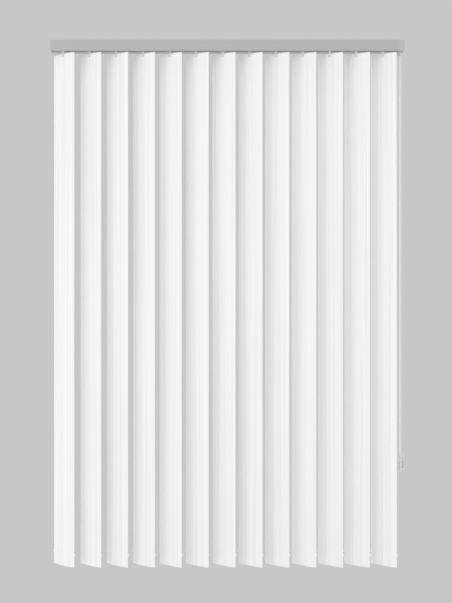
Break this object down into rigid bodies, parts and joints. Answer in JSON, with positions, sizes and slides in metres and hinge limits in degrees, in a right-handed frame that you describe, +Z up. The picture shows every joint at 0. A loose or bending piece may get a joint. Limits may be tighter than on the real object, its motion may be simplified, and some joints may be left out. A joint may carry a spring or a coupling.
{
  "type": "vertical blind",
  "caption": "White vertical blind with curved vanes hung from a light grey headrail, worked by an endless bead chain at the right end.",
  "frame": {"origin": "on the ceiling plane, midway between the screw holes of the two top-fix brackets", "axes": "+X along the headrail to the control end, -Y towards the room, +Z up to the ceiling"},
  "size_m": [1.061, 0.061, 1.5752],
  "materials": {
    "rail": "satin light grey paint on extruded aluminium",
    "bracket": "zinc plated",
    "end_plastic": "moulded light grey plastic",
    "chain": "white moulded beads",
    "tidy": "pale translucent moulding",
    "rod": "drawn rod with splines",
    "wheel": "white acetal",
    "truck": "white acetal",
    "link": "thin spring steel strip",
    "hook": "pale translucent moulding",
    "vane": "satin white extruded vinyl with fine ribs"
  },
  "bodies": {
    "root": {"headrail": "rail", "top_fix_brackets": "bracket", "idle_end_cap": "end_plastic", "control_housing": "end_plastic", "control_cover": "end_plastic", "bead_chain": "chain", "chain_tidy": "tidy", "carrier_13": "truck", "link_13": "link"},
    "drive": {"tilt_rod": "rod", "chain_wheel": "wheel"},
    "truck_01": {"carrier_01": "truck"},
    "truck_02": {"carrier_02": "truck", "link_02": "link"},
    "truck_03": {"carrier_03": "truck", "link_03": "link"},
    "truck_04": {"carrier_04": "truck", "link_04": "link"},
    "truck_05": {"carrier_05": "truck", "link_05": "link"},
    "truck_06": {"carrier_06": "truck", "link_06": "link"},
    "truck_07": {"carrier_07": "truck", "link_07": "link"},
    "truck_08": {"carrier_08": "truck", "link_08": "link"},
    "truck_09": {"carrier_09": "truck", "link_09": "link"},
    "truck_10": {"carrier_10": "truck", "link_10": "link"},
    "truck_11": {"carrier_11": "truck", "link_11": "link"},
    "truck_12": {"carrier_12": "truck", "link_12": "link"},
    "louvre_01": {"hook_01": "hook", "vane_01": "vane"},
    "louvre_02": {"hook_02": "hook", "vane_02": "vane"},
    "louvre_03": {"hook_03": "hook", "vane_03": "vane"},
    "louvre_04": {"hook_04": "hook", "vane_04": "vane"},
    "louvre_05": {"hook_05": "hook", "vane_05": "vane"},
    "louvre_06": {"hook_06": "hook", "vane_06": "vane"},
    "louvre_07": {"hook_07": "hook", "vane_07": "vane"},
    "louvre_08": {"hook_08": "hook", "vane_08": "vane"},
    "louvre_09": {"hook_09": "hook", "vane_09": "vane"},
    "louvre_10": {"hook_10": "hook", "vane_10": "vane"},
    "louvre_11": {"hook_11": "hook", "vane_11": "vane"},
    "louvre_12": {"hook_12": "hook", "vane_12": "vane"},
    "louvre_13": {"hook_13": "hook", "vane_13": "vane"}
  },
  "joints": [
    {"name": "draw_01", "type": "slide", "parent": "root", "child": "truck_01", "axis": [1, 0, 0], "range_m": [0, 0.714]},
    {"name": "draw_02", "type": "slide", "parent": "root", "child": "truck_02", "axis": [1, 0, 0], "range_m": [0, 0.65451]},
    {"name": "draw_03", "type": "slide", "parent": "root", "child": "truck_03", "axis": [1, 0, 0], "range_m": [0, 0.59501]},
    {"name": "draw_04", "type": "slide", "parent": "root", "child": "truck_04", "axis": [1, 0, 0], "range_m": [0, 0.53551]},
    {"name": "draw_05", "type": "slide", "parent": "root", "child": "truck_05", "axis": [1, 0, 0], "range_m": [0, 0.47601]},
    {"name": "draw_06", "type": "slide", "parent": "root", "child": "truck_06", "axis": [1, 0, 0], "range_m": [0, 0.41651]},
    {"name": "draw_07", "type": "slide", "parent": "root", "child": "truck_07", "axis": [1, 0, 0], "range_m": [0, 0.35701]},
    {"name": "draw_08", "type": "slide", "parent": "root", "child": "truck_08", "axis": [1, 0, 0], "range_m": [0, 0.29751]},
    {"name": "draw_09", "type": "slide", "parent": "root", "child": "truck_09", "axis": [1, 0, 0], "range_m": [0, 0.23801]},
    {"name": "draw_10", "type": "slide", "parent": "root", "child": "truck_10", "axis": [1, 0, 0], "range_m": [0, 0.17851]},
    {"name": "draw_11", "type": "slide", "parent": "root", "child": "truck_11", "axis": [1, 0, 0], "range_m": [0, 0.11901]},
    {"name": "draw_12", "type": "slide", "parent": "root", "child": "truck_12", "axis": [1, 0, 0], "range_m": [0, 0.05951]},
    {"name": "tilt_01", "type": "hinge", "parent": "truck_01", "child": "louvre_01", "pos_m": [-0.4925, -0.007, -0.03], "axis": [0, 0, 1], "range_deg": [-123, 21]},
    {"name": "tilt_02", "type": "hinge", "parent": "truck_02", "child": "louvre_02", "pos_m": [-0.4125, -0.007, -0.03], "axis": [0, 0, 1], "range_deg": [-123, 21]},
    {"name": "tilt_03", "type": "hinge", "parent": "truck_03", "child": "louvre_03", "pos_m": [-0.3325, -0.007, -0.03], "axis": [0, 0, 1], "range_deg": [-123, 21]},
    {"name": "tilt_04", "type": "hinge", "parent": "truck_04", "child": "louvre_04", "pos_m": [-0.2525, -0.007, -0.03], "axis": [0, 0, 1], "range_deg": [-123, 21]},
    {"name": "tilt_05", "type": "hinge", "parent": "truck_05", "child": "louvre_05", "pos_m": [-0.1725, -0.007, -0.03], "axis": [0, 0, 1], "range_deg": [-123, 21]},
    {"name": "tilt_06", "type": "hinge", "parent": "truck_06", "child": "louvre_06", "pos_m": [-0.0925, -0.007, -0.03], "axis": [0, 0, 1], "range_deg": [-123, 21]},
    {"name": "tilt_07", "type": "hinge", "parent": "truck_07", "child": "louvre_07", "pos_m": [-0.0125, -0.007, -0.03], "axis": [0, 0, 1], "range_deg": [-123, 21]},
    {"name": "tilt_08", "type": "hinge", "parent": "truck_08", "child": "louvre_08", "pos_m": [0.0675, -0.007, -0.03], "axis": [0, 0, 1], "range_deg": [-123, 21]},
    {"name": "tilt_09", "type": "hinge", "parent": "truck_09", "child": "louvre_09", "pos_m": [0.1475, -0.007, -0.03], "axis": [0, 0, 1], "range_deg": [-123, 21]},
    {"name": "tilt_10", "type": "hinge", "parent": "truck_10", "child": "louvre_10", "pos_m": [0.2275, -0.007, -0.03], "axis": [0, 0, 1], "range_deg": [-123, 21]},
    {"name": "tilt_11", "type": "hinge", "parent": "truck_11", "child": "louvre_11", "pos_m": [0.3075, -0.007, -0.03], "axis": [0, 0, 1], "range_deg": [-123, 21]},
    {"name": "tilt_12", "type": "hinge", "parent": "truck_12", "child": "louvre_12", "pos_m": [0.3875, -0.007, -0.03], "axis": [0, 0, 1], "range_deg": [-123, 21]},
    {"name": "tilt_13", "type": "hinge", "parent": "root", "child": "louvre_13", "pos_m": [0.4675, -0.007, -0.03], "axis": [0, 0, 1], "range_deg": [-123, 21]},
    {"name": "chain_drive", "type": "hinge", "parent": "root", "child": "drive", "pos_m": [0.521, 0.003, -0.0192], "axis": [1, 0, 0], "range_deg": [-1476, 252]}
  ],
  "couplings": [
    {"joint": "draw_02", "follows": "draw_01", "ratio": 0.91667},
    {"joint": "draw_03", "follows": "draw_01", "ratio": 0.83333},
    {"joint": "draw_04", "follows": "draw_01", "ratio": 0.75},
    {"joint": "draw_05", "follows": "draw_01", "ratio": 0.66667},
    {"joint": "draw_06", "follows": "draw_01", "ratio": 0.58333},
    {"joint": "draw_07", "follows": "draw_01", "ratio": 0.5},
    {"joint": "draw_08", "follows": "draw_01", "ratio": 0.41667},
    {"joint": "draw_09", "follows": "draw_01", "ratio": 0.33333},
    {"joint": "draw_10", "follows": "draw_01", "ratio": 0.25},
    {"joint": "draw_11", "follows": "draw_01", "ratio": 0.16667},
    {"joint": "draw_12", "follows": "draw_01", "ratio": 0.083333},
    {"joint": "tilt_02", "follows": "tilt_01", "ratio": 1},
    {"joint": "tilt_03", "follows": "tilt_01", "ratio": 1},
    {"joint": "tilt_04", "follows": "tilt_01", "ratio": 1},
    {"joint": "tilt_05", "follows": "tilt_01", "ratio": 1},
    {"joint": "tilt_06", "follows": "tilt_01", "ratio": 1},
    {"joint": "tilt_07", "follows": "tilt_01", "ratio": 1},
    {"joint": "tilt_08", "follows": "tilt_01", "ratio": 1},
    {"joint": "tilt_09", "follows": "tilt_01", "ratio": 1},
    {"joint": "tilt_10", "follows": "tilt_01", "ratio": 1},
    {"joint": "tilt_11", "follows": "tilt_01", "ratio": 1},
    {"joint": "tilt_12", "follows": "tilt_01", "ratio": 1},
    {"joint": "tilt_13", "follows": "tilt_01", "ratio": 1},
    {"joint": "chain_drive", "follows": "tilt_01", "ratio": 12}
  ]
}
